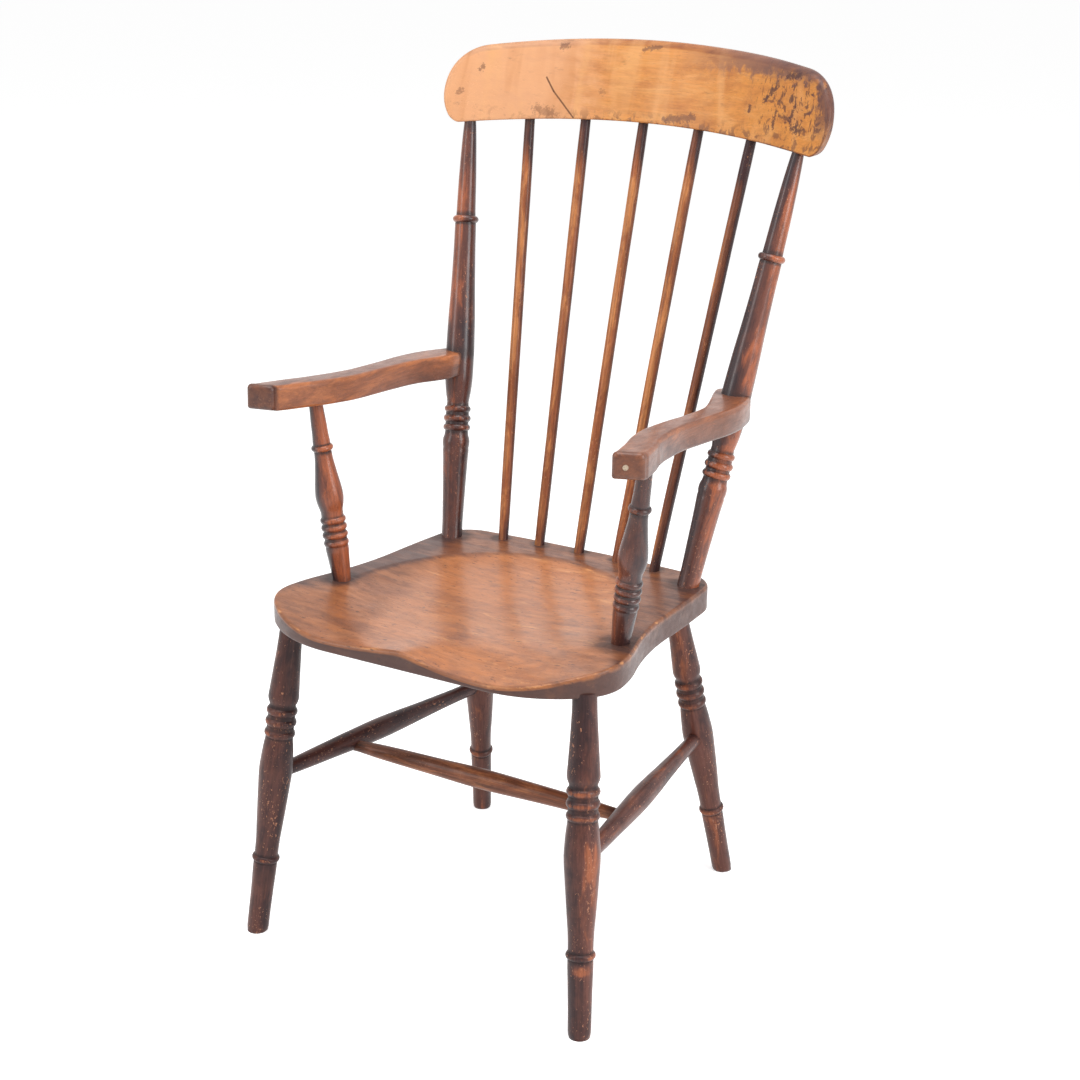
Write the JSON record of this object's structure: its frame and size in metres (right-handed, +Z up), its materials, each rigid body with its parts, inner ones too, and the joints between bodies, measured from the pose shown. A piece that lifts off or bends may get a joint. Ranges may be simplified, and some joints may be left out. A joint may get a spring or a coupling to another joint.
{
  "type": "captains chair",
  "caption": "Old English stick-back elbow chair in dark worn wood, with a saddled seat, turned legs and posts, shaped arms and a bent crest rail.",
  "frame": {"origin": "on the floor, under the middle of the chair's bounding box", "axes": "+Z up; the chair faces -Y; +X is to the right of a viewer in front of it"},
  "size_m": [0.5492, 0.5845, 1.087],
  "materials": {
    "seat_wood": "waxed elm, glossy, worn orange-brown",
    "crest_wood": "waxed, worn pale golden orange",
    "arm_wood": "waxed, hand-worn brown",
    "post_wood": "old dark stain, worn through on the high turns",
    "stick_wood": "worn stain, dark at both ends",
    "leg_wood": "old dark stain, scuffed and chipped",
    "cross_stretcher_wood": "worn stain, dark streaks",
    "fastener_steel": "dulled iron"
  },
  "bodies": {
    "root": {"arm_left": "arm_wood", "arm_right": "arm_wood", "arm_screws": "fastener_steel", "arm_support_left": "post_wood", "arm_support_right": "post_wood", "arm_tack": "fastener_steel", "crest_rail": "crest_wood", "leg_back_left": "leg_wood", "leg_back_right": "leg_wood", "leg_front_left": "leg_wood", "leg_front_right": "leg_wood", "post_left": "post_wood", "post_right": "post_wood", "seat": "seat_wood", "stick_far_left": "stick_wood", "stick_far_right": "stick_wood", "stick_left": "stick_wood", "stick_middle": "stick_wood", "stick_right": "stick_wood", "stretcher_cross": "cross_stretcher_wood", "stretcher_left": "leg_wood", "stretcher_right": "leg_wood"}
  },
  "joints": []
}
